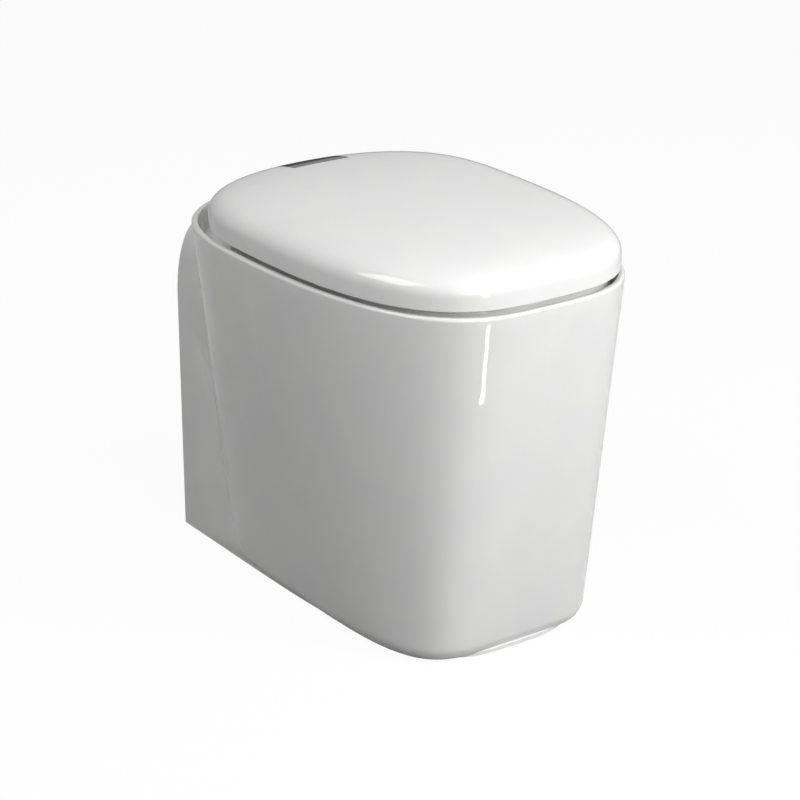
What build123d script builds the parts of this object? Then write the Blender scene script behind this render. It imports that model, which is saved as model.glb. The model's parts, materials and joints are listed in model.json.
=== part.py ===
from build123d import *
from collections import namedtuple
from math import acos, cos, degrees, pi, radians, sin
import os

os.makedirs("parts", exist_ok=True)

# Back-to-wall toilet, in millimetres. +Z is up, the front faces -Y and the wall is at +Y.
# The origin is on the floor, midway across the width and midway between front and wall.

# Overall envelope
overall_width = 375.0
overall_depth = 551.0
rim_height = 419.0
cut_overrun = 5.0
wall_y = overall_depth / 2

# Plan outlines: a half width, the line where the plan is widest, and how far it reaches
# forward and back from that line. Each half is a superellipse with its own two powers.
Outline = namedtuple("Outline", "half_width widest front rear front_powers rear_powers")
outline_steps = 9

# Tub: the tapered ceramic body under the rim
front_reach = 308.0
rim_wall_gap = 0.9
rim_front_powers = (3.5, 2.23)
rim_rear_powers = (2.07, 3.28)
keel_depth = 7.0
keel_half_width = 140.8
keel_setback = 3.3
keel_front = 250.7
keel_rear = 180.8
keel_front_powers = (4.82, 4.15)
keel_rear_powers = (4.99, 4.4)
tub_rounding = 28.0
groove_height = 3.0
shell_thickness = 11.0
foot_land = 18.0

# Wall block: the narrower arch that joins the tub to the wall
block_half_width = 136.8
block_height = 388.5
block_corner_width = 32.0
block_corner_height = 87.5
block_wall = 10.0
block_reach = 190.0

# Foot: the thin step that stands on the floor
foot_height = 4.0
foot_straight = 149.4
foot_front_reach = 348.0
foot_front_powers = (3.69, 2.88)
foot_blend = 60.0

# Rim lip and the sunk deck inside it
lip_width = 6.6
lip_height = 4.0
lip_outer_rounding = 3.2
lip_inner_rounding = 1.2
recess_depth = 21.0
recess_draft = 6.0
deck_thickness = 12.0

# Bowl, inside measures
bowl_half_width = 132.0
bowl_half_length = 165.0
bowl_setback = 87.0
bowl_powers = (2.3, 2.3)
bowl_wall = 10.0
bowl_edge_rounding = 5.0
bowl_profile_shares = ((0, 0), (0.25, 0.12), (0.55, 0.42), (0.81, 0.78), (1, 1))

# Trapway, from the sump over the weir to the outlet spigot
trap_radius = 38.0
trap_wall = 10.0
trap_entry_height = 130.0
trap_entry_setback = 40.0
trap_bend_radius = 50.0
trap_rise_angle = 80.0
weir_height = 262.0
outlet_height = 190.0
spigot_radius = 51.0
spigot_bore_radius = 41.0
spigot_length = 45.0
rear_setback = 10.0

# Flush inlet horn
horn_radius = 37.5
horn_bore_radius = 27.5
horn_merge = 1.5
horn_length = 190.0
flush_pipe_radius = 22.0
inlet_seal_length = 25.0
inlet_seal_flange = 3.0
inlet_seal_flange_radius = 33.0
inlet_seal_room = 0.5

# Lid: a hollow dome
lid_gap = 5.6
lid_overhang = 3.0
lid_rear = 192.8
lid_front_powers = (3.12, 2.63)
lid_rear_powers = (2.21, 3.12)
lid_side_height = 2.0
lid_crown = 49.7
lid_crown_powers = (1.9, 4.59)
lid_crown_lead = 38.8
lid_crown_steps = 8
lid_crown_stop = 86.0
lid_flank_share = 0.31
lid_profile_steps = 30
lid_profile_crowding = 3
lid_wall = 5.0
lid_edge_rounding = 1.5
lid_buffer_boss_radius = 7.0
notch_wall_thickness = 2.5
notch_cheek_thickness = 2.0
cheek_rise = 8.0

# Seat ring
seat_inset = 12.0
seat_thickness = 19.0
seat_lid_gap = 2.0
seat_rear = 148.0
seat_rounding = 6.0
seat_under_rounding = 2.0
seat_hole_half_width = 108.0
seat_hole_half_length = 139.0
seat_hole_setback = 76.0
seat_hole_powers = (2.2, 2.2)

# Hinge: one axis along X near the back of the lid
hinge_setback = 165.0
hinge_rise = 4.0
notch_radius = 52.0
notch_half_width = 39.5
hinge_clearance = 0.8
base_plate_thickness = 3.0
base_plate_half_width = 92.0
base_plate_front = 17.0
base_plate_rear = 17.0
base_plate_rounding = 6.0
cover_thickness = 2.2
pin_radius = 4.0
running_fit = 0.05
arm_thickness = 8.0
arm_gap = 3.2
arm_barrel_radius = 9.5
arm_pad_height = 7.0
arm_screw_radius = 2.0
arm_screw_head_radius = 4.0
arm_screw_head_height = 2.5
arm_screw_grip = 5.0
lid_screw_radius = 1.5
lid_screw_head_radius = 2.75
lid_screw_head_height = 2.0
lid_pad_front = 46.0
lid_pad_rear = 14.0
lid_pad_rise = 12.0
seat_pad_front = 50.0
seat_pad_rear = 18.0
arm_screw_inset = 9.0
pocket_fit = 0.2
ear_thickness = 4.0
ear_radius = 9.0
ear_leg_front = 14.0
ear_leg_rear = 6.0
pin_head_radius = 6.0
pin_head_height = 1.5
bush_radius = 5.5
bush_flange_radius = 8.0
bush_flange_height = 1.0
damper_radius = 9.4
damper_fit = 0.1
damper_gap = 2.0
damper_shaft_depth = 17.0
shaft_flat_half = 3.0
housing_screw_radius = 2.0
housing_screw_head_radius = 4.0
housing_screw_head_height = 2.4
housing_screw_grip = 10.0
housing_screw_offset = 28.0
housing_screw_setback = 12.0

# Deck fixings
fixing_spacing = 155.0
fixing_hole_radius = 7.0
fixing_bolt_radius = 4.0
fixing_slack = 0.5
fixing_head_radius = 8.0
fixing_head_height = 4.5
fixing_bolt_length = 45.0
fixing_washer_radius = 10.0
fixing_washer_thickness = 1.5
sleeve_fit = 0.2
sleeve_bulge_radius = 9.5
sleeve_length = 36.0

# Buffers
buffer_seat_gap = 0.3
seat_buffer_radius = 8.0
lid_buffer_radius = 6.0
lid_buffer_height = 4.0
buffer_stem_radius = 2.5
buffer_stem_length = 4.0
seat_buffer_front = (125.0, 205.0)
seat_buffer_rear = (148.0, -20.0)
lid_buffer_front = (92.0, 228.0)
lid_buffer_rear = (138.0, 110.0)

# Hidden floor fixings
bracket_thickness = 3.0
bracket_foot = 36.0
bracket_height = 60.0
bracket_length = 50.0
bracket_wall_distance = 90.0
bracket_side_gap = 7.0
clamp_height = 36.0
clamp_screw_radius = 4.0
clamp_screw_length = 18.0
clamp_head_radius = 6.5
clamp_head_height = 5.0
clamp_pad_radius = 12.0
clamp_pad_thickness = 4.0
floor_screw_radius = 4.0
floor_head_radius = 6.5
floor_head_height = 5.0
floor_washer_radius = 9.0
floor_washer_thickness = 1.5
floor_screw_spacing = 28.0

# Places worked out from the sizes above
widest_y = front_reach - overall_depth / 2
deck_level = rim_height - recess_depth
lid_level = rim_height + lid_gap
seat_top = lid_level - seat_lid_gap
seat_bottom = seat_top - seat_thickness
hinge_y = widest_y + hinge_setback
lid_apex_y = widest_y - lid_crown_lead
hinge_z = lid_level + hinge_rise
plate_top = deck_level + base_plate_thickness
horn_level = deck_level - deck_thickness + horn_merge - horn_radius
rear_end = wall_y - rear_setback
pad_level = hinge_z + lid_pad_rise + arm_pad_height
housing_half_width = notch_half_width - hinge_clearance
drive_arm_inner = housing_half_width + arm_gap
free_arm_inner = drive_arm_inner + arm_thickness + arm_gap
ear_inner = free_arm_inner + arm_thickness + bush_flange_height + pocket_fit
ear_outer = ear_inner + ear_thickness
dead_pin_inner = free_arm_inner - bush_flange_height
dead_pin_length = ear_outer - dead_pin_inner
damper_shaft_inner = housing_half_width - damper_shaft_depth
damper_shaft_length = drive_arm_inner + arm_thickness + bush_flange_height - damper_shaft_inner
lid_screw_seat = pad_level - arm_pad_height + lid_screw_head_height
lid_buffer_top = seat_top + buffer_seat_gap + lid_buffer_height
hinge_frame = Location((0, hinge_y, hinge_z), (0, 90, 0))
fixing_places = (-fixing_spacing / 2, fixing_spacing / 2)
housing_screw_places = [
    (x, hinge_y + housing_screw_setback) for x in (-housing_screw_offset, housing_screw_offset)
]
lid_arm_screw_places = [
    (x, hinge_y - back)
    for x in (-drive_arm_inner - arm_thickness / 2, free_arm_inner + arm_thickness / 2)
    for back in (lid_pad_front - arm_screw_inset, lid_pad_rear + arm_screw_inset)
]
seat_arm_screw_places = [
    (x, hinge_y - back)
    for x in (-free_arm_inner - arm_thickness / 2, drive_arm_inner + arm_thickness / 2)
    for back in (seat_pad_front - arm_screw_inset, seat_pad_rear + arm_screw_inset)
]
seat_buffer_places = [
    (side * x, widest_y - y) for x, y in (seat_buffer_front, seat_buffer_rear) for side in (1, -1)
]
lid_buffer_places = [
    (side * x, widest_y - y) for x, y in (lid_buffer_front, lid_buffer_rear) for side in (1, -1)
]
bracket_face = block_half_width - block_wall - bracket_side_gap
bracket_y = wall_y - bracket_wall_distance
floor_screw_places = [
    (side * (bracket_face - (bracket_foot + bracket_thickness) / 2), bracket_y + shift)
    for side in (1, -1)
    for shift in (-floor_screw_spacing / 2, floor_screw_spacing / 2)
]

tub_rim = Outline(
    overall_width / 2,
    widest_y,
    front_reach,
    wall_y - widest_y - rim_wall_gap,
    rim_front_powers,
    rim_rear_powers,
)
tub_keel = Outline(
    keel_half_width,
    widest_y - keel_setback,
    keel_front,
    keel_rear,
    keel_front_powers,
    keel_rear_powers,
)
lid_plan = Outline(
    overall_width / 2 - lip_width + lid_overhang,
    widest_y,
    front_reach - lip_width + lid_overhang,
    lid_rear,
    lid_front_powers,
    lid_rear_powers,
)
seat_plan = lid_plan._replace(
    half_width=lid_plan.half_width - seat_inset,
    front=lid_plan.front - seat_inset,
    rear=seat_rear,
)
seat_hole = Outline(
    seat_hole_half_width,
    widest_y - seat_hole_setback,
    seat_hole_half_length,
    seat_hole_half_length,
    seat_hole_powers,
    seat_hole_powers,
)
foot_plan = Outline(
    block_half_width,
    wall_y - foot_straight,
    foot_front_reach,
    foot_blend,
    foot_front_powers,
    foot_front_powers,
)


def egg(outline, height=0, inset=0):
    """A closed plan outline at a height, drawn in by an inset, as four smooth quarters."""
    across = outline.half_width - inset
    halves = (
        (outline.rear - inset, outline.rear_powers),
        (inset - outline.front, outline.front_powers),
    )
    turns = [pi / 4 * (1 - cos(pi * step / outline_steps)) for step in range(1, outline_steps)]
    quarters = []
    for reach, powers in halves:
        points = [(across, outline.widest, height)]
        for turn in turns:
            share = sin(turn) ** (2 / powers[1])
            x = across * cos(turn) ** (2 / powers[0])
            points.append((x, outline.widest + reach * share, height))
        points.append((0, outline.widest + reach, height))
        quarter = Edge.make_spline(points, tangents=[(0, reach, 0), (-across, 0, 0)])
        quarters += [quarter, quarter.mirror(Plane.YZ)]
    return Face(Wire.combine(quarters)[0])


def shrunk(outline, share):
    """The lid's outline scaled about the top of its crown."""
    return outline._replace(
        half_width=outline.half_width * share,
        widest=lid_apex_y + (outline.widest - lid_apex_y) * share,
        front=outline.front * share,
        rear=outline.rear * share,
    )


def dome(bottom, inset=0, mode=Mode.ADD):
    """The body of the lid drawn in by an inset: a short straight edge, then the crown.

    The crown's sections stand along its profile and crowd towards the ends of two stretches,
    which keeps its curve even.
    """
    shoulder = lid_level + lid_side_height - inset
    plan = lid_plan._replace(
        half_width=lid_plan.half_width - inset,
        front=lid_plan.front - inset,
        rear=lid_plan.rear - inset,
    )
    points = []
    for step in range(lid_profile_steps + 1):
        turn = radians(lid_crown_stop) * (step / lid_profile_steps) ** lid_profile_crowding
        reach = plan.half_width * cos(turn) ** (2 / lid_crown_powers[0])
        points.append((reach, 0, shoulder + lid_crown * sin(turn) ** (2 / lid_crown_powers[1])))
    profile = Edge.make_spline(points)
    extrude(egg(plan, bottom), amount=shoulder - bottom, mode=mode)
    for start, stretch in ((0, lid_flank_share), (lid_flank_share, 1 - lid_flank_share)):
        crown = []
        for step in range(lid_crown_steps + 1):
            place = profile @ (start + stretch * (1 - cos(pi * step / lid_crown_steps)) / 2)
            crown.append(egg(shrunk(plan, place.X / plan.half_width), place.Z))
        loft(crown, mode=mode)


def bowl_sections(wall=0):
    """Sections of the bowl from the deck down to the sump, grown by a wall."""
    sections = []
    for depth_share, narrow_share in bowl_profile_shares:
        half_width = bowl_half_width + (trap_radius - bowl_half_width) * narrow_share + wall
        half_length = bowl_half_length + (trap_radius - bowl_half_length) * narrow_share + wall
        setback = bowl_setback + (trap_entry_setback - bowl_setback) * narrow_share
        height = deck_level + (trap_entry_height - deck_level) * depth_share
        plan = Outline(
            half_width, widest_y - setback, half_length, half_length, bowl_powers, bowl_powers
        )
        sections.append(egg(plan, height))
    return sections


def trap_path():
    """Centre line of the trapway: along the sump, up, over the weir and down to the outlet."""
    fall = weir_height - outlet_height
    fall_angle = degrees(acos(1 - fall / (2 * trap_bend_radius)))
    rise = weir_height - trap_entry_height
    bends = 2 * trap_bend_radius * (1 - cos(radians(trap_rise_angle)))
    riser = (rise - bends) / sin(radians(trap_rise_angle))
    with BuildLine(Plane.YZ) as path:
        start = (widest_y - trap_entry_setback, trap_entry_height)
        rise_bend = JernArc(start, (1, 0), trap_bend_radius, trap_rise_angle)
        up = Line(rise_bend @ 1, rise_bend @ 1 + (rise_bend % 1) * riser)
        over = JernArc(up @ 1, up % 1, trap_bend_radius, -(trap_rise_angle + fall_angle))
        level = JernArc(over @ 1, over % 1, trap_bend_radius, fall_angle)
        Line(level @ 1, level @ 1 + (level % 1) * trap_bend_radius / 2)
    return path.line


def arch(inset):
    """Outline of the wall block: upright sides and rounded top corners."""
    side = block_half_width - inset
    top = block_height - inset
    with BuildSketch(Plane.XZ.offset(-wall_y)) as face:
        with BuildLine():
            Line((0, 0), (side, 0))
            Line((side, 0), (side, top - block_corner_height))
            EllipticalCenterArc(
                (side - block_corner_width, top - block_corner_height),
                block_corner_width,
                block_corner_height,
                start_angle=0,
                arc_size=90,
            )
            Line((side - block_corner_width, top), (0, top))
            mirror(about=Plane.YZ)
        make_face()
    return face.sketch


def rear_disc(radius, level, back=rear_end):
    """A disc that faces the wall, on the centre line at a level."""
    with BuildSketch(Plane.XZ.offset(-back)) as disc:
        with Locations((0, level)):
            Circle(radius)
    return disc.sketch


def trap_section(radius):
    """The round section at the start of the trapway."""
    path = trap_path()
    with BuildSketch(Plane(origin=path @ 0, z_dir=path % 0)) as section:
        Circle(radius)
    return section.sketch


def span_start(inner, length, side):
    """Lower X of a span that begins at a distance from the middle on one side."""
    return inner if side > 0 else -inner - length


def arm_start(inner, side):
    """Lower X of a hinge arm."""
    return span_start(inner, arm_thickness, side)


def axle_disc(start, radius):
    """A disc on the hinge axis, in the plane across it at a start."""
    with BuildSketch(Plane.YZ.offset(start)) as disc:
        with Locations((hinge_y, hinge_z)):
            Circle(radius)
    return disc.sketch


def keyed_disc(start, radius, half_height):
    """A disc on the hinge axis with two flats."""
    with BuildSketch(Plane.YZ.offset(start)) as disc:
        with Locations((hinge_y, hinge_z)):
            Circle(radius)
            Rectangle(2 * radius, 2 * half_height, mode=Mode.INTERSECT)
    return disc.sketch


def arm_view(start, front, rear, low):
    """Side view of a hinge arm: a barrel round the axis run into a flat pad."""
    with BuildSketch(Plane.YZ.offset(start)) as view:
        with Locations((hinge_y, hinge_z)):
            Circle(arm_barrel_radius)
        with Locations((hinge_y - front, low)):
            Rectangle(front - rear, arm_pad_height, align=Align.MIN)
        make_hull()
    return view.sketch


def lid_arm_view(start):
    """Side view of a lid arm, which rises to a pad inside the lid."""
    return arm_view(start, lid_pad_front, lid_pad_rear, pad_level - arm_pad_height)


def seat_arm_view(start):
    """Side view of a seat arm, which lies in a pocket of the seat."""
    return arm_view(start, seat_pad_front, seat_pad_rear, seat_top - arm_pad_height)


# Ceramic pan
with BuildPart() as pan:
    # Tub, rounded underneath and cut off just above the floor
    loft([egg(tub_keel, -keel_depth), egg(tub_rim, rim_height - lip_height)], ruled=True)
    extrude(egg(tub_rim, rim_height), amount=-lip_height)
    fillet(pan.faces().sort_by(Axis.Z)[0].edges(), radius=tub_rounding)
    split(bisect_by=Plane.XY.offset(groove_height), keep=Keep.TOP)
    # Wall block and foot
    extrude(arch(0), amount=block_reach)
    with BuildSketch() as foot:
        add(egg(foot_plan))
        with Locations((0, wall_y)):
            Rectangle(2 * block_half_width, foot_straight, align=(Align.CENTER, Align.MAX))
    extrude(amount=foot_height)
    # Hollow inside, open to the floor and to the wall
    loft(
        [
            egg(tub_keel, -cut_overrun, foot_land),
            egg(tub_rim, deck_level - deck_thickness, shell_thickness),
        ],
        ruled=True,
        mode=Mode.SUBTRACT,
    )
    extrude(arch(block_wall), amount=block_reach, both=True, mode=Mode.SUBTRACT)
    # Outer walls of the bowl, sump, trapway, outlet spigot and flush horn
    loft(bowl_sections(bowl_wall))
    with Locations((0, widest_y - trap_entry_setback, trap_entry_height)):
        Sphere(trap_radius + trap_wall)
    sweep(trap_section(trap_radius + trap_wall), path=trap_path())
    extrude(rear_disc(spigot_radius, outlet_height), amount=spigot_length)
    extrude(rear_disc(horn_radius, horn_level), amount=horn_length)
    # Sunk deck inside the lip
    loft(
        [
            egg(tub_rim, deck_level, lip_width + recess_draft),
            egg(tub_rim, rim_height, lip_width),
        ],
        ruled=True,
        mode=Mode.SUBTRACT,
    )
    # The water's way from the flush horn through bowl and trap to the outlet
    loft(bowl_sections(), mode=Mode.SUBTRACT)
    with Locations((0, widest_y - trap_entry_setback, trap_entry_height)):
        Sphere(trap_radius, mode=Mode.SUBTRACT)
    sweep(trap_section(trap_radius), path=trap_path(), mode=Mode.SUBTRACT)
    extrude(rear_disc(spigot_bore_radius, outlet_height), amount=spigot_length, mode=Mode.SUBTRACT)
    extrude(rear_disc(horn_bore_radius, horn_level), amount=horn_length, mode=Mode.SUBTRACT)
    # Room for the seal's flange, between the horn's mouth and the wall
    extrude(
        rear_disc(inlet_seal_flange_radius + inlet_seal_room, horn_level, wall_y),
        amount=wall_y - rear_end,
        mode=Mode.SUBTRACT,
    )
    # Soft edges on the lip and round the bowl
    lip = pan.faces().filter_by(Plane.XY).sort_by(Axis.Z)[-1]
    fillet(lip.outer_wire().edges(), radius=lip_outer_rounding)
    lip = pan.faces().filter_by(Plane.XY).sort_by(Axis.Z)[-1]
    fillet(lip.inner_wires()[0].edges(), radius=lip_inner_rounding)
    deck = pan.faces().filter_by(Plane.XY).group_by(Axis.Z)[-2].sort_by(SortBy.AREA)[-1]
    fillet(deck.inner_wires()[0].edges(), radius=bowl_edge_rounding)
    # Holes for the seat fixings
    with Locations(*[(x, hinge_y, deck_level) for x in fixing_places]):
        Hole(fixing_hole_radius, depth=deck_thickness + cut_overrun)

# Seat ring
with BuildPart() as seat_ring:
    with BuildSketch(Plane.XY.offset(seat_bottom)):
        add(egg(seat_plan))
        add(egg(seat_hole), mode=Mode.SUBTRACT)
    extrude(amount=seat_thickness)
    fillet(seat_ring.faces().sort_by(Axis.Z)[-1].edges(), radius=seat_rounding)
    fillet(seat_ring.faces().sort_by(Axis.Z)[0].edges(), radius=seat_under_rounding)
    # Clear of the hinge housing in the middle, pockets for the two arms beside it
    with Locations(hinge_frame):
        Cylinder(notch_radius, 2 * notch_half_width, mode=Mode.SUBTRACT)
    for start in (arm_start(drive_arm_inner, 1), arm_start(free_arm_inner, -1)):
        with Locations((start - pocket_fit, hinge_y - seat_pad_front, seat_top - arm_pad_height)):
            Box(
                arm_thickness + 2 * pocket_fit,
                seat_pad_front,
                2 * arm_pad_height,
                align=Align.MIN,
                mode=Mode.SUBTRACT,
            )
    with Locations(*[(x, y, seat_bottom) for x, y in seat_arm_screw_places]):
        Cylinder(
            arm_screw_radius,
            seat_thickness,
            align=(Align.CENTER, Align.CENTER, Align.MIN),
            mode=Mode.SUBTRACT,
        )
        Cylinder(
            arm_screw_head_radius + pocket_fit,
            2 * arm_screw_head_height,
            mode=Mode.SUBTRACT,
        )
    with Locations(*[(x, y, seat_bottom) for x, y in seat_buffer_places]):
        Cylinder(buffer_stem_radius, 2 * buffer_stem_length, mode=Mode.SUBTRACT)

# Space inside the lid, less the pads, bosses and notch walls that stand in it
with BuildPart() as lid_hollow:
    dome(lid_level - cut_overrun, lid_wall)
    for start in (arm_start(drive_arm_inner, -1), arm_start(free_arm_inner, 1)):
        with Locations((start, hinge_y - lid_pad_front, pad_level)):
            Box(
                arm_thickness,
                lid_pad_front - lid_pad_rear,
                lid_side_height + lid_crown,
                align=Align.MIN,
                mode=Mode.SUBTRACT,
            )
    with Locations(*[(x, y, lid_buffer_top) for x, y in lid_buffer_places]):
        Cylinder(
            lid_buffer_boss_radius,
            lid_side_height + lid_crown,
            align=(Align.CENTER, Align.CENTER, Align.MIN),
            mode=Mode.SUBTRACT,
        )
    with BuildSketch(Plane.YZ) as notch_wall:
        with Locations((hinge_y, hinge_z)):
            Circle(notch_radius + notch_wall_thickness)
        with Locations((hinge_y, hinge_z + cheek_rise)):
            Rectangle(
                3 * notch_radius,
                2 * notch_radius,
                align=(Align.CENTER, Align.MIN),
                mode=Mode.INTERSECT,
            )
    extrude(amount=notch_half_width + notch_cheek_thickness, both=True, mode=Mode.SUBTRACT)

# Lid
with BuildPart() as lid:
    dome(lid_level)
    fillet(lid.faces().sort_by(Axis.Z)[0].edges(), radius=lid_edge_rounding)
    add(lid_hollow.part, mode=Mode.SUBTRACT)
    with Locations(hinge_frame):
        Cylinder(notch_radius, 2 * notch_half_width, mode=Mode.SUBTRACT)
    with Locations(*[(x, y, pad_level) for x, y in lid_arm_screw_places]):
        Cylinder(lid_screw_radius, 2 * arm_screw_grip, mode=Mode.SUBTRACT)
    with Locations(*[(x, y, lid_buffer_top) for x, y in lid_buffer_places]):
        Cylinder(buffer_stem_radius, 2 * buffer_stem_length, mode=Mode.SUBTRACT)

# Base plate of the hinge, with an ear at each end for a dead pin
with BuildPart() as hinge_base:
    with BuildSketch(Plane.XY.offset(deck_level)):
        with Locations((0, hinge_y + (base_plate_rear - base_plate_front) / 2)):
            RectangleRounded(
                2 * base_plate_half_width,
                base_plate_front + base_plate_rear,
                base_plate_rounding,
            )
        with Locations(*[(x, hinge_y) for x in fixing_places]):
            Circle(fixing_bolt_radius + fixing_slack, mode=Mode.SUBTRACT)
        with Locations(*housing_screw_places):
            Circle(housing_screw_radius, mode=Mode.SUBTRACT)
    extrude(amount=base_plate_thickness)
    with Locations(*[(x, y, deck_level) for x, y in housing_screw_places]):
        Cylinder(
            housing_screw_head_radius,
            2 * housing_screw_head_height,
            mode=Mode.SUBTRACT,
        )
    for side in (1, -1):
        with BuildSketch(Plane.YZ.offset(span_start(ear_inner, ear_thickness, side))):
            with Locations((hinge_y, hinge_z)):
                Circle(ear_radius)
            with Locations((hinge_y - ear_leg_front, plate_top)):
                Rectangle(ear_leg_front - ear_leg_rear, hinge_z - plate_top, align=Align.MIN)
            with Locations((hinge_y, hinge_z)):
                Circle(pin_radius, mode=Mode.SUBTRACT)
        extrude(amount=ear_thickness)

# Dead pins in the ears
with BuildPart() as dead_pins:
    for side in (1, -1):
        with BuildSketch(Plane.YZ.offset(span_start(dead_pin_inner, dead_pin_length, side))):
            with Locations((hinge_y, hinge_z)):
                Circle(pin_radius)
        extrude(amount=dead_pin_length)
        with BuildSketch(Plane.YZ.offset(span_start(ear_outer, pin_head_height, side))):
            with Locations((hinge_y, hinge_z)):
                Circle(pin_head_radius)
        extrude(amount=pin_head_height)

# Hinge housing, which fills the notch of lid and seat under the cover
with BuildPart() as hinge_housing:
    dome(plate_top, cover_thickness)
    with Locations(hinge_frame):
        Cylinder(notch_radius - hinge_clearance, 2 * housing_half_width, mode=Mode.INTERSECT)
        Cylinder(damper_radius + damper_fit, 2 * notch_radius, mode=Mode.SUBTRACT)
    with Locations(*[(x, y, plate_top) for x, y in housing_screw_places]):
        Cylinder(housing_screw_radius, 2 * housing_screw_grip, mode=Mode.SUBTRACT)

# Metal cover over the housing, flush with the lid
with BuildPart() as hinge_cover:
    dome(lid_level)
    with Locations(hinge_frame):
        Cylinder(notch_radius - hinge_clearance, 2 * housing_half_width, mode=Mode.INTERSECT)
    dome(lid_level - cut_overrun, cover_thickness, Mode.SUBTRACT)

# Soft-close dampers in the housing, one for the lid and one for the seat
with BuildPart() as lid_damper:
    with BuildSketch(Plane.YZ.offset(-housing_half_width)):
        with Locations((hinge_y, hinge_z)):
            Circle(damper_radius)
    extrude(amount=housing_half_width - damper_gap / 2)
    with BuildSketch(Plane.YZ.offset(-housing_half_width)):
        with Locations((hinge_y, hinge_z)):
            Circle(pin_radius + running_fit)
    extrude(amount=damper_shaft_depth + damper_gap, mode=Mode.SUBTRACT)

with BuildPart() as seat_damper:
    with BuildSketch(Plane.YZ.offset(damper_gap / 2)):
        with Locations((hinge_y, hinge_z)):
            Circle(damper_radius)
    extrude(amount=housing_half_width - damper_gap / 2)
    with BuildSketch(Plane.YZ.offset(housing_half_width - damper_shaft_depth - damper_gap)):
        with Locations((hinge_y, hinge_z)):
            Circle(pin_radius + running_fit)
    extrude(amount=damper_shaft_depth + damper_gap, mode=Mode.SUBTRACT)

# Damper shafts: round in the damper, two flats in the arm they turn with
with BuildPart() as lid_damper_shaft:
    shaft_end = -damper_shaft_inner - damper_shaft_length
    extrude(axle_disc(-drive_arm_inner, pin_radius), amount=drive_arm_inner - damper_shaft_inner)
    extrude(keyed_disc(shaft_end, pin_radius, shaft_flat_half), amount=-drive_arm_inner - shaft_end)

with BuildPart() as seat_damper_shaft:
    mirror(lid_damper_shaft.part, about=Plane.YZ)

# Arms of the lid: one keyed to its damper shaft, one turning on a dead pin
with BuildPart() as lid_drive_arm:
    extrude(lid_arm_view(arm_start(drive_arm_inner, -1)), amount=arm_thickness)
    extrude(
        keyed_disc(arm_start(drive_arm_inner, -1), pin_radius, shaft_flat_half),
        amount=arm_thickness,
        mode=Mode.SUBTRACT,
    )
    with Locations(*[(x, y, pad_level) for x, y in lid_arm_screw_places if x < 0]):
        Cylinder(lid_screw_radius, 2 * arm_pad_height, mode=Mode.SUBTRACT)
    with Locations(*[(x, y, lid_screw_seat) for x, y in lid_arm_screw_places if x < 0]):
        Cylinder(
            lid_screw_head_radius,
            lid_pad_rise + arm_pad_height,
            align=(Align.CENTER, Align.CENTER, Align.MAX),
            mode=Mode.SUBTRACT,
        )

with BuildPart() as lid_free_arm:
    extrude(lid_arm_view(arm_start(free_arm_inner, 1)), amount=arm_thickness)
    extrude(
        axle_disc(arm_start(free_arm_inner, 1), bush_radius),
        amount=arm_thickness,
        mode=Mode.SUBTRACT,
    )
    with Locations(*[(x, y, pad_level) for x, y in lid_arm_screw_places if x > 0]):
        Cylinder(lid_screw_radius, 2 * arm_pad_height, mode=Mode.SUBTRACT)
    with Locations(*[(x, y, lid_screw_seat) for x, y in lid_arm_screw_places if x > 0]):
        Cylinder(
            lid_screw_head_radius,
            lid_pad_rise + arm_pad_height,
            align=(Align.CENTER, Align.CENTER, Align.MAX),
            mode=Mode.SUBTRACT,
        )

with BuildPart() as lid_arm_screws:
    with Locations(*[(x, y, lid_screw_seat) for x, y in lid_arm_screw_places]):
        Cylinder(
            lid_screw_head_radius,
            lid_screw_head_height,
            align=(Align.CENTER, Align.CENTER, Align.MAX),
        )
        Cylinder(
            lid_screw_radius,
            pad_level + arm_screw_grip - lid_screw_seat,
            align=(Align.CENTER, Align.CENTER, Align.MIN),
        )

# Arms of the seat: one keyed to its damper shaft, one turning on a dead pin
with BuildPart() as seat_drive_arm:
    extrude(seat_arm_view(arm_start(drive_arm_inner, 1)), amount=arm_thickness)
    extrude(
        keyed_disc(arm_start(drive_arm_inner, 1), pin_radius, shaft_flat_half),
        amount=arm_thickness,
        mode=Mode.SUBTRACT,
    )
    with Locations(*[(x, y, seat_top - arm_pad_height) for x, y in seat_arm_screw_places if x > 0]):
        Cylinder(arm_screw_radius, 2 * arm_screw_grip, mode=Mode.SUBTRACT)

with BuildPart() as seat_free_arm:
    extrude(seat_arm_view(arm_start(free_arm_inner, -1)), amount=arm_thickness)
    extrude(
        axle_disc(arm_start(free_arm_inner, -1), bush_radius),
        amount=arm_thickness,
        mode=Mode.SUBTRACT,
    )
    with Locations(*[(x, y, seat_top - arm_pad_height) for x, y in seat_arm_screw_places if x < 0]):
        Cylinder(arm_screw_radius, 2 * arm_screw_grip, mode=Mode.SUBTRACT)

with BuildPart() as seat_arm_screws:
    with Locations(*[(x, y, seat_bottom) for x, y in seat_arm_screw_places]):
        Cylinder(
            arm_screw_head_radius,
            arm_screw_head_height,
            align=(Align.CENTER, Align.CENTER, Align.MIN),
        )
        Cylinder(
            arm_screw_radius,
            seat_thickness - arm_pad_height + arm_screw_grip,
            align=(Align.CENTER, Align.CENTER, Align.MIN),
        )

# Flanged bushes of the two free arms
with BuildPart() as lid_bush:
    extrude(axle_disc(free_arm_inner, bush_radius), amount=arm_thickness)
    extrude(axle_disc(free_arm_inner, bush_flange_radius), amount=-bush_flange_height)
    extrude(
        axle_disc(free_arm_inner - bush_flange_height, pin_radius + running_fit),
        amount=arm_thickness + bush_flange_height,
        mode=Mode.SUBTRACT,
    )

with BuildPart() as seat_bush:
    mirror(lid_bush.part, about=Plane.YZ)

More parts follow.
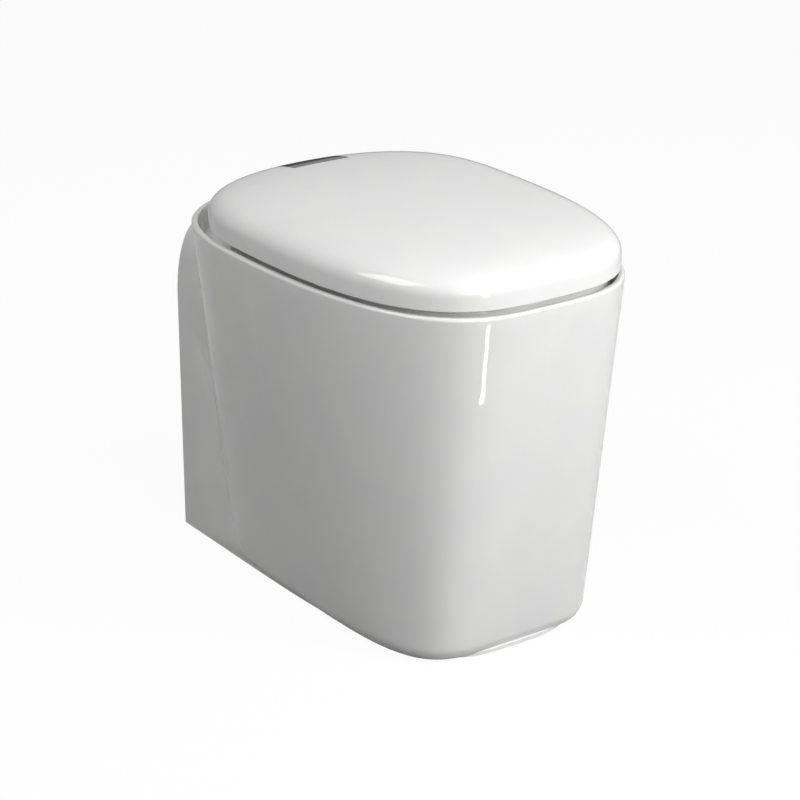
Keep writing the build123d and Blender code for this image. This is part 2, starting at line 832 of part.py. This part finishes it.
# Screws that hold the housing down on the base plate, from below
with BuildPart() as housing_screws:
    with Locations(*[(x, y, deck_level) for x, y in housing_screw_places]):
        Cylinder(
            housing_screw_head_radius,
            housing_screw_head_height,
            align=(Align.CENTER, Align.CENTER, Align.MIN),
        )
        Cylinder(
            housing_screw_radius,
            base_plate_thickness + housing_screw_grip,
            align=(Align.CENTER, Align.CENTER, Align.MIN),
        )

# Fixings of the hinge in the ceramic deck
with BuildPart() as fixing_washers:
    with BuildSketch(Plane.XY.offset(plate_top)):
        with Locations(*[(x, hinge_y) for x in fixing_places]):
            Circle(fixing_washer_radius)
            Circle(fixing_bolt_radius, mode=Mode.SUBTRACT)
    extrude(amount=fixing_washer_thickness)

with BuildPart() as fixing_bolts:
    with Locations(*[(x, hinge_y, plate_top + fixing_washer_thickness) for x in fixing_places]):
        Cylinder(
            fixing_head_radius,
            fixing_head_height,
            align=(Align.CENTER, Align.CENTER, Align.MIN),
        )
        Cylinder(
            fixing_bolt_radius,
            fixing_bolt_length,
            align=(Align.CENTER, Align.CENTER, Align.MAX),
        )

with BuildPart() as expanding_sleeves:
    with Locations(*[(x, hinge_y, deck_level) for x in fixing_places]):
        Cylinder(
            fixing_hole_radius - sleeve_fit,
            sleeve_length,
            align=(Align.CENTER, Align.CENTER, Align.MAX),
        )
    with Locations(*[(x, hinge_y, deck_level - deck_thickness) for x in fixing_places]):
        Cylinder(
            sleeve_bulge_radius,
            sleeve_length - deck_thickness,
            align=(Align.CENTER, Align.CENTER, Align.MAX),
        )
    with Locations(*[(x, hinge_y, deck_level) for x in fixing_places]):
        Cylinder(fixing_bolt_radius, 2 * sleeve_length, mode=Mode.SUBTRACT)

# Rubber buffers under the seat and under the lid
with BuildPart() as seat_buffers:
    with Locations(*[(x, y, seat_bottom) for x, y in seat_buffer_places]):
        Cylinder(
            seat_buffer_radius,
            seat_bottom - deck_level - buffer_seat_gap,
            align=(Align.CENTER, Align.CENTER, Align.MAX),
        )
        Cylinder(
            buffer_stem_radius,
            buffer_stem_length,
            align=(Align.CENTER, Align.CENTER, Align.MIN),
        )

with BuildPart() as lid_buffers:
    with Locations(*[(x, y, lid_buffer_top) for x, y in lid_buffer_places]):
        Cylinder(
            lid_buffer_radius,
            lid_buffer_height,
            align=(Align.CENTER, Align.CENTER, Align.MAX),
        )
        Cylinder(
            buffer_stem_radius,
            buffer_stem_length,
            align=(Align.CENTER, Align.CENTER, Align.MIN),
        )

# Rubber seal for the flush pipe in the mouth of the horn
with BuildPart() as inlet_seal:
    extrude(rear_disc(horn_bore_radius, horn_level), amount=inlet_seal_length)
    extrude(
        rear_disc(inlet_seal_flange_radius, horn_level, rear_end + inlet_seal_flange),
        amount=inlet_seal_flange,
    )
    extrude(
        rear_disc(flush_pipe_radius, horn_level, rear_end + inlet_seal_flange),
        amount=inlet_seal_flange + inlet_seal_length,
        mode=Mode.SUBTRACT,
    )

# Angle brackets on the floor inside the wall block, each with a clamp screw and a pad
with BuildPart() as floor_bracket_right:
    with BuildSketch(Plane.XZ.offset(-bracket_y)):
        with Locations((bracket_face, 0)):
            Rectangle(bracket_foot, bracket_thickness, align=(Align.MAX, Align.MIN))
            Rectangle(bracket_thickness, bracket_height, align=(Align.MAX, Align.MIN))
    extrude(amount=bracket_length / 2, both=True)
    with Locations(*[(x, y, 0) for x, y in floor_screw_places if x > 0]):
        Cylinder(floor_screw_radius, 2 * bracket_height, mode=Mode.SUBTRACT)
    with BuildSketch(Plane.YZ.offset(bracket_face)):
        with Locations((bracket_y, clamp_height)):
            Circle(clamp_screw_radius)
    extrude(amount=-bracket_thickness, mode=Mode.SUBTRACT)

with BuildPart() as floor_bracket_left:
    mirror(floor_bracket_right.part, about=Plane.YZ)

with BuildPart() as floor_washers:
    with BuildSketch(Plane.XY.offset(bracket_thickness)):
        with Locations(*floor_screw_places):
            Circle(floor_washer_radius)
            Circle(floor_screw_radius, mode=Mode.SUBTRACT)
    extrude(amount=floor_washer_thickness)

with BuildPart() as floor_screws:
    with BuildSketch():
        with Locations(*floor_screw_places):
            Circle(floor_screw_radius)
    extrude(amount=bracket_thickness + floor_washer_thickness)
    with BuildSketch(Plane.XY.offset(bracket_thickness + floor_washer_thickness)):
        with Locations(*floor_screw_places):
            RegularPolygon(floor_head_radius, 6)
    extrude(amount=floor_head_height)

with BuildPart() as clamp_screws:
    for side in (1, -1):
        pad_inner = block_half_width - block_wall - clamp_pad_thickness
        screw_inner = pad_inner - clamp_screw_length
        with BuildSketch(Plane.YZ.offset(span_start(screw_inner, clamp_screw_length, side))):
            with Locations((bracket_y, clamp_height)):
                Circle(clamp_screw_radius)
        extrude(amount=clamp_screw_length)
        head_inner = screw_inner - clamp_head_height
        with BuildSketch(Plane.YZ.offset(span_start(head_inner, clamp_head_height, side))):
            with Locations((bracket_y, clamp_height)):
                RegularPolygon(clamp_head_radius, 6)
        extrude(amount=clamp_head_height)

with BuildPart() as clamp_pads:
    for side in (1, -1):
        with BuildSketch(Plane.YZ.offset(span_start(pad_inner, clamp_pad_thickness, side))):
            with Locations((bracket_y, clamp_height)):
                Circle(clamp_pad_radius)
        extrude(amount=clamp_pad_thickness)

pieces = {
    "pan": pan,
    "seat_ring": seat_ring,
    "lid": lid,
    "hinge_base": hinge_base,
    "dead_pins": dead_pins,
    "hinge_housing": hinge_housing,
    "hinge_cover": hinge_cover,
    "housing_screws": housing_screws,
    "lid_damper": lid_damper,
    "seat_damper": seat_damper,
    "lid_damper_shaft": lid_damper_shaft,
    "seat_damper_shaft": seat_damper_shaft,
    "lid_drive_arm": lid_drive_arm,
    "lid_free_arm": lid_free_arm,
    "lid_arm_screws": lid_arm_screws,
    "lid_bush": lid_bush,
    "lid_buffers": lid_buffers,
    "seat_drive_arm": seat_drive_arm,
    "seat_free_arm": seat_free_arm,
    "seat_arm_screws": seat_arm_screws,
    "seat_bush": seat_bush,
    "seat_buffers": seat_buffers,
    "fixing_washers": fixing_washers,
    "fixing_bolts": fixing_bolts,
    "expanding_sleeves": expanding_sleeves,
    "inlet_seal": inlet_seal,
    "floor_bracket_left": floor_bracket_left,
    "floor_bracket_right": floor_bracket_right,
    "floor_washers": floor_washers,
    "floor_screws": floor_screws,
    "clamp_screws": clamp_screws,
    "clamp_pads": clamp_pads,
}
for name, piece in pieces.items():
    piece.part.label = name
    export_step(piece.part, f"parts/{name}.step")
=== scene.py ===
import json
import math

import bmesh
import bpy
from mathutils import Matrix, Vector

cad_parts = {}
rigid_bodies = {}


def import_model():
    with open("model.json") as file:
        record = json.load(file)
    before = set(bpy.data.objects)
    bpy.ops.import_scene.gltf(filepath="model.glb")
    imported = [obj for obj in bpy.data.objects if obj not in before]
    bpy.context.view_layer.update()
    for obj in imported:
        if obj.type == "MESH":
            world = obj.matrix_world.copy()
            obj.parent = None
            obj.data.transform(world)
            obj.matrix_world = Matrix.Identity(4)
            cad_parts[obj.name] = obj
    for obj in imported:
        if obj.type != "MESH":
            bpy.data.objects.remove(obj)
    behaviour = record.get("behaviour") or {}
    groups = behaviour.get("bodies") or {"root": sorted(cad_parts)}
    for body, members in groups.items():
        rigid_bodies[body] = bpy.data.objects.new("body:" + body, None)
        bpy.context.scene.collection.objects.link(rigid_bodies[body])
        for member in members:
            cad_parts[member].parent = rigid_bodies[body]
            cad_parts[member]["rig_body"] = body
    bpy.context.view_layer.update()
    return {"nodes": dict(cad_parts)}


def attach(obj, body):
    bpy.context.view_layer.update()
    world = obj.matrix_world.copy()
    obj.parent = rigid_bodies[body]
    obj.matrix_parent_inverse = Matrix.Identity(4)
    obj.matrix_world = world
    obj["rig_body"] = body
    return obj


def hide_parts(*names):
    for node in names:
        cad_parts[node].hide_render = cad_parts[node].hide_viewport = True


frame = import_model()
nodes = frame["nodes"]

# In metres: the frame's facets meet within this distance and are joined
weld_distance = 0.00002
# Two faces that meet at a smaller angle than this, in degrees, are one curved surface
smooth_angle = 35
# The hinge cover's rear band, where black is a painted dark reflection, measured from its rear
# edge
cover_painted_reflection_length = 0.046
# The floor lies this much under the object, so that the two never share a face
floor_drop = 0.0005
floor_half_width = 6.0
# The photograph's right, along the floor
photo_right = (0.82, -0.57, 0.0)


def linear(hex_colour):
    """An sRGB hex value as a linear RGBA colour."""
    channels = [int(hex_colour[i:i + 2], 16) / 255 for i in (1, 3, 5)]
    return [c / 12.92 if c <= 0.04045 else ((c + 0.055) / 1.055) ** 2.4 for c in channels] + [1.0]


def new_material(name):
    """A material that holds only its output, with the tree it is built in."""
    material = bpy.data.materials.new(name)
    material.use_nodes = True
    tree = material.node_tree
    tree.nodes.clear()
    return material, tree


def node(tree, kind, settings=(), values=(), links=()):
    """Adds one node: its settings by name, its input values and its input links."""
    made = tree.nodes.new(kind)
    for key, value in dict(settings).items():
        setattr(made, key, value)
    for key, value in dict(values).items():
        made.inputs[key].default_value = value
    for key, source in dict(links).items():
        tree.links.new(source, made.inputs[key])
    return made


def end(tree, shader):
    node(tree, "ShaderNodeOutputMaterial", links={"Surface": shader.outputs[0]})


def spread(tree, source, low, high, from_low=0.35, from_high=0.65):
    """A pattern's value brought between two limits."""
    return node(
        tree, "ShaderNodeMapRange",
        values={"From Min": from_low, "From Max": from_high, "To Min": low, "To Max": high},
        links={"Value": source},
    ).outputs[0]


def vitreous_china():
    """Vitreous china under a fired opaque white glaze.

    The glaze is glass: it mirrors the room sharply, with the long faint waves that it
    gets as it runs in the kiln, about 60 mm apart, and a very fine orange peel.
    """
    material, tree = new_material("glazed vitreous china")
    place = node(tree, "ShaderNodeTexCoord").outputs["Object"]
    runs = node(tree, "ShaderNodeTexNoise", values={"Scale": 1 / 0.060, "Detail": 1.0},
                links={"Vector": place})
    peel = node(tree, "ShaderNodeTexNoise", values={"Scale": 1 / 0.006, "Detail": 2.0},
                links={"Vector": place})
    waves = node(tree, "ShaderNodeBump", values={"Strength": 0.10, "Distance": 0.0004},
                 links={"Height": runs.outputs[0]})
    skin = node(tree, "ShaderNodeBump", values={"Strength": 0.04, "Distance": 0.00006},
                links={"Height": peel.outputs[0], "Normal": waves.outputs[0]})
    tone = node(tree, "ShaderNodeMix", {"data_type": "RGBA"}, {"Factor": 0.5})
    tone.inputs[6].default_value = linear("#F3F3F1")
    tone.inputs[7].default_value = linear("#F0F1F0")
    tree.links.new(spread(tree, runs.outputs[0], 0.0, 1.0), tone.inputs["Factor"])
    glaze = node(
        tree, "ShaderNodeBsdfPrincipled",
        values={"IOR": 1.52, "Coat Weight": 0.4, "Coat Roughness": 0.02, "Coat IOR": 1.5},
        links={
            "Base Color": tone.outputs[2],
            "Roughness": spread(tree, runs.outputs[0], 0.05, 0.09),
            "Normal": skin.outputs[0],
        },
    )
    end(tree, glaze)
    return material


def moulded_plastic(name, colours, roughness, grain_mm, grain_depth_mm, coat=0.0):
    """Moulded plastic: two near tones, a roughness that wanders and a fine mould grain."""
    material, tree = new_material(name)
    place = node(tree, "ShaderNodeTexCoord").outputs["Object"]
    cloud = node(tree, "ShaderNodeTexNoise", values={"Scale": 1 / 0.040, "Detail": 2.0},
                 links={"Vector": place})
    grain = node(tree, "ShaderNodeTexNoise",
                 values={"Scale": 1000 / grain_mm, "Detail": 3.0, "Roughness": 0.6},
                 links={"Vector": place})
    relief = node(tree, "ShaderNodeBump",
                  values={"Strength": 0.5, "Distance": grain_depth_mm / 1000},
                  links={"Height": grain.outputs[0]})
    tone = node(tree, "ShaderNodeMix", {"data_type": "RGBA"})
    tone.inputs[6].default_value = linear(colours[0])
    tone.inputs[7].default_value = linear(colours[1])
    tree.links.new(spread(tree, cloud.outputs[0], 0.0, 1.0), tone.inputs["Factor"])
    plastic = node(
        tree, "ShaderNodeBsdfPrincipled",
        values={"IOR": 1.5, "Coat Weight": coat, "Coat Roughness": 0.03},
        links={
            "Base Color": tone.outputs[2],
            "Roughness": spread(tree, cloud.outputs[0], roughness[0], roughness[1]),
            "Normal": relief.outputs[0],
        },
    )
    end(tree, plastic)
    return material


def drawn_metal(name, colour, roughness, line_mm, line_depth_mm, along):
    """Bare metal with the fine lines of brushing or turning, long in one direction."""
    material, tree = new_material(name)
    place = node(tree, "ShaderNodeTexCoord").outputs["Object"]
    scale = [1000 / line_mm] * 3
    scale[along] = 1000 / line_mm / 30
    stretched = node(tree, "ShaderNodeMapping", values={"Scale": scale}, links={"Vector": place})
    lines = node(tree, "ShaderNodeTexNoise", values={"Scale": 1.0, "Detail": 2.0},
                 links={"Vector": stretched.outputs[0]})
    relief = node(tree, "ShaderNodeBump",
                  values={"Strength": 0.5, "Distance": line_depth_mm / 1000},
                  links={"Height": lines.outputs[0]})
    metal = node(
        tree, "ShaderNodeBsdfPrincipled",
        values={"Base Color": linear(colour), "Metallic": 1.0},
        links={
            "Roughness": spread(tree, lines.outputs[0], roughness[0], roughness[1]),
            "Normal": relief.outputs[0],
        },
    )
    end(tree, metal)
    return material


china = vitreous_china()
# Urea moulding compound, pressed in a polished mould: as white as the china and a little softer
duroplast = moulded_plastic(
    "pressed duroplast", ("#F4F4F3", "#F1F2F1"), (0.10, 0.14), 6.0, 0.004, coat=0.25)
# Glass-filled nylon of the hinge housing: grey with a fine matt grain
nylon = moulded_plastic("glass-filled nylon", ("#8E9194", "#85888C"), (0.45, 0.60), 0.8, 0.02)
# Acetal of the dampers: near black and slightly waxy
acetal_black = moulded_plastic("black acetal", ("#202123", "#191A1B"), (0.35, 0.45), 1.2, 0.01)
# Acetal of the bushes in its natural milky colour
acetal = moulded_plastic("natural acetal", ("#DAD8CE", "#D2D0C5"), (0.30, 0.40), 1.2, 0.01)
# Polypropylene of the floor brackets and of the sleeves
polypropylene = moulded_plastic(
    "white polypropylene", ("#E4E3DC", "#DAD9D2"), (0.38, 0.50), 1.0, 0.015)
# Translucent grey elastomer of the buffers: soft and dull
elastomer = moulded_plastic("grey elastomer", ("#B9BAB8", "#ACADAB"), (0.55, 0.70), 0.9, 0.02)
# EPDM rubber of the seal and the washers under the hinge plate; its black also serves as the
# painted dark reflection on the hinge cover's rear band
rubber_and_painted_reflection = moulded_plastic("black EPDM rubber", ("#1B1B1B", "#141414"), (0.60, 0.75), 0.7, 0.03)
# Zinc alloy, plated and brushed along the hinge line
plated_zinc = drawn_metal("brushed chrome on zinc", "#5E6062", (0.20, 0.32), 0.35, 0.004, 0)
# Stainless steel strip, rolled and blanked
stainless = drawn_metal("rolled stainless steel", "#A9A8A5", (0.28, 0.42), 0.5, 0.006, 1)
# Stainless bar of screws and pins, turned
turned_steel = drawn_metal("turned stainless steel", "#B4B3B0", (0.22, 0.34), 0.4, 0.005, 0)

finish_of = {
    "pan": china, "seat_ring": duroplast, "lid": duroplast,
    "hinge_base": stainless, "dead_pins": turned_steel, "hinge_housing": nylon,
    "hinge_cover": plated_zinc, "housing_screws": turned_steel,
    "lid_damper": acetal_black, "seat_damper": acetal_black,
    "lid_damper_shaft": turned_steel, "seat_damper_shaft": turned_steel,
    "lid_drive_arm": stainless, "lid_free_arm": stainless, "lid_arm_screws": turned_steel,
    "lid_bush": acetal, "lid_buffers": elastomer,
    "seat_drive_arm": stainless, "seat_free_arm": stainless, "seat_arm_screws": turned_steel,
    "seat_bush": acetal, "seat_buffers": elastomer,
    "fixing_washers": rubber_and_painted_reflection, "fixing_bolts": turned_steel, "expanding_sleeves": polypropylene,
    "inlet_seal": rubber_and_painted_reflection,
    "floor_bracket_left": polypropylene, "floor_bracket_right": polypropylene,
    "floor_washers": stainless, "floor_screws": turned_steel,
    "clamp_screws": turned_steel, "clamp_pads": polypropylene,
}


def finished_copy(name):
    """The piece itself with its facets joined and its curved faces shaded smooth."""
    source = nodes[name]
    mesh = source.data.copy()
    mesh.name = name + "_finished"
    shape = bmesh.new()
    shape.from_mesh(mesh)
    bmesh.ops.remove_doubles(shape, verts=shape.verts, dist=weld_distance)
    limit = math.radians(smooth_angle)
    for face in shape.faces:
        face.smooth = True
    for edge in shape.edges:
        edge.smooth = len(edge.link_faces) == 2 and edge.calc_face_angle(0) < limit
    shape.to_mesh(mesh)
    shape.free()
    mesh.materials.clear()
    mesh.materials.append(finish_of[name])
    piece = bpy.data.objects.new(name + "_finished", mesh)
    bpy.context.scene.collection.objects.link(piece)
    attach(piece, source["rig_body"])
    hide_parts(name)
    return piece


def paint_reflection_on_rear_edge(cover, front_of_painted_reflection, finish):
    """A painted dark reflection on the cover's rear edge: its faces are cut along a line and get
    their own black finish.
    """
    shape = bmesh.new()
    shape.from_mesh(cover.data)
    bmesh.ops.bisect_plane(
        shape, geom=shape.verts[:] + shape.edges[:] + shape.faces[:],
        plane_co=(0.0, front_of_painted_reflection, 0.0), plane_no=(0.0, 1.0, 0.0),
    )
    for face in shape.faces:
        if face.calc_center_median().y > front_of_painted_reflection:
            face.material_index = 1
    shape.to_mesh(cover.data)
    shape.free()
    cover.data.materials.append(finish)


pieces = {name: finished_copy(name) for name in finish_of}
cover_rear = max(corner[1] for corner in pieces["hinge_cover"].bound_box)
# The hinge cover's rear band gets the black rubber finish as a painted dark reflection
paint_reflection_on_rear_edge(pieces["hinge_cover"], cover_rear - cover_painted_reflection_length, rubber_and_painted_reflection)


def ray_kinds(tree):
    """The light path, and its rays that come straight from the camera or through glass."""
    path = node(tree, "ShaderNodeLightPath")
    looked_at = node(
        tree, "ShaderNodeMath", {"operation": "MAXIMUM"},
        links={0: path.outputs["Is Camera Ray"], 1: path.outputs["Is Transmission Ray"]},
    )
    return path, looked_at


def studio_surface(name, seen, seen_share, bounce):
    """White to the camera, lit paint in reflections, and a greyer bounce of light."""
    material, tree = new_material(name)
    path, looked_at = ray_kinds(tree)
    paint = node(tree, "ShaderNodeBsdfDiffuse", values={"Color": linear(seen)})
    glow = node(tree, "ShaderNodeEmission", values={"Color": linear(seen), "Strength": 1.0})
    white = node(tree, "ShaderNodeMixShader", values={"Fac": seen_share},
                 links={1: paint.outputs[0], 2: glow.outputs[0]})
    grey = node(tree, "ShaderNodeBsdfDiffuse", values={"Color": linear(bounce)})
    lit = node(tree, "ShaderNodeMixShader",
               links={0: path.outputs["Is Glossy Ray"], 1: grey.outputs[0], 2: paint.outputs[0]})
    mixed = node(tree, "ShaderNodeMixShader",
                 links={0: looked_at.outputs[0], 1: lit.outputs[0], 2: white.outputs[0]})
    end(tree, mixed)
    return material


def studio_floor():
    mesh = bpy.data.meshes.new("studio_floor")
    shape = bmesh.new()
    bmesh.ops.create_grid(shape, x_segments=1, y_segments=1, size=floor_half_width)
    shape.to_mesh(mesh)
    shape.free()
    mesh.materials.append(studio_surface("studio floor", "#FFFFFF", 0.94, "#2C2C2C"))
    floor = bpy.data.objects.new("studio_floor", mesh)
    bpy.context.scene.collection.objects.link(floor)
    floor.location.z = -floor_drop


def studio_world(ambient, left, right):
    """White to the camera, an even ambient light, and in reflections a room that is bright
    on the photograph's right and dim on its left."""
    world = bpy.data.worlds.new("studio")
    world.use_nodes = True
    tree = world.node_tree
    tree.nodes.clear()
    path, looked_at = ray_kinds(tree)
    towards = node(tree, "ShaderNodeTexCoord").outputs["Generated"]
    side = node(tree, "ShaderNodeVectorMath", {"operation": "DOT_PRODUCT"},
                {1: photo_right}, {0: towards}).outputs["Value"]
    mirrored = spread(tree, side, left, right, -0.4, 0.6)
    white = node(tree, "ShaderNodeBackground", values={"Strength": 1.0})
    even = node(tree, "ShaderNodeBackground", values={"Strength": ambient})
    room = node(tree, "ShaderNodeBackground", links={"Strength": mirrored})
    for background in (white, even, room):
        background.inputs["Color"].default_value = linear("#FFFFFF")
    lit = node(tree, "ShaderNodeMixShader",
               links={0: path.outputs["Is Glossy Ray"], 1: even.outputs[0], 2: room.outputs[0]})
    mixed = node(tree, "ShaderNodeMixShader",
                 links={0: looked_at.outputs[0], 1: lit.outputs[0], 2: white.outputs[0]})
    node(tree, "ShaderNodeOutputWorld", links={"Surface": mixed.outputs[0]})
    bpy.context.scene.world = world


def soft_light(name, place, target, width, height, power):
    lamp = bpy.data.lights.new(name, "AREA")
    lamp.shape = "RECTANGLE"
    lamp.size = width
    lamp.size_y = height
    lamp.energy = power
    light = bpy.data.objects.new(name, lamp)
    bpy.context.scene.collection.objects.link(light)
    light.location = place
    light.rotation_euler = (Vector(target) - Vector(place)).to_track_quat("-Z", "Y").to_euler()
    return light


middle = (0.0, 0.0, 0.25)
studio_floor()
studio_world(0.24, 0.35, 1.0)
# A large soft box high in front and to the right of the camera: the bright front and right
# side, and the crown of the lid
soft_light("key", (1.30, -2.10, 1.80), middle, 1.4, 1.4, 46)
# A second one over the camera, which rounds off the front towards the left
soft_light("fill", (-0.60, -2.4, 1.7), middle, 1.2, 1.2, 21)
# A weak one high on the left, for the wall block and the rear deck
soft_light("left", (-1.5, 0.3, 2.2), middle, 1.2, 1.2, 17)
# A tall strip light and a low one, seen as one bright upright line on the rounded front
soft_light("tall_strip", (-0.2, -2.65, 0.85), middle, 0.22, 1.2, 9)
soft_light("low_strip", (-0.035, -0.83, 0.002), (-0.035, -0.83, 1.0), 0.045, 0.22, 0.3)

camera_data = bpy.data.cameras.new("camera")
camera_data.lens = 111.17
camera_data.sensor_width = 36.0
camera = bpy.data.objects.new("camera", camera_data)
bpy.context.scene.collection.objects.link(camera)
camera.location = (-1.5257, -2.1698, 1.2842)
looks_at = Vector((0.00345, 0.0106, 0.2180))
camera.rotation_euler = (looks_at - camera.location).to_track_quat("-Z", "Y").to_euler()
bpy.context.scene.camera = camera
bpy.context.scene.view_settings.view_transform = "Standard"
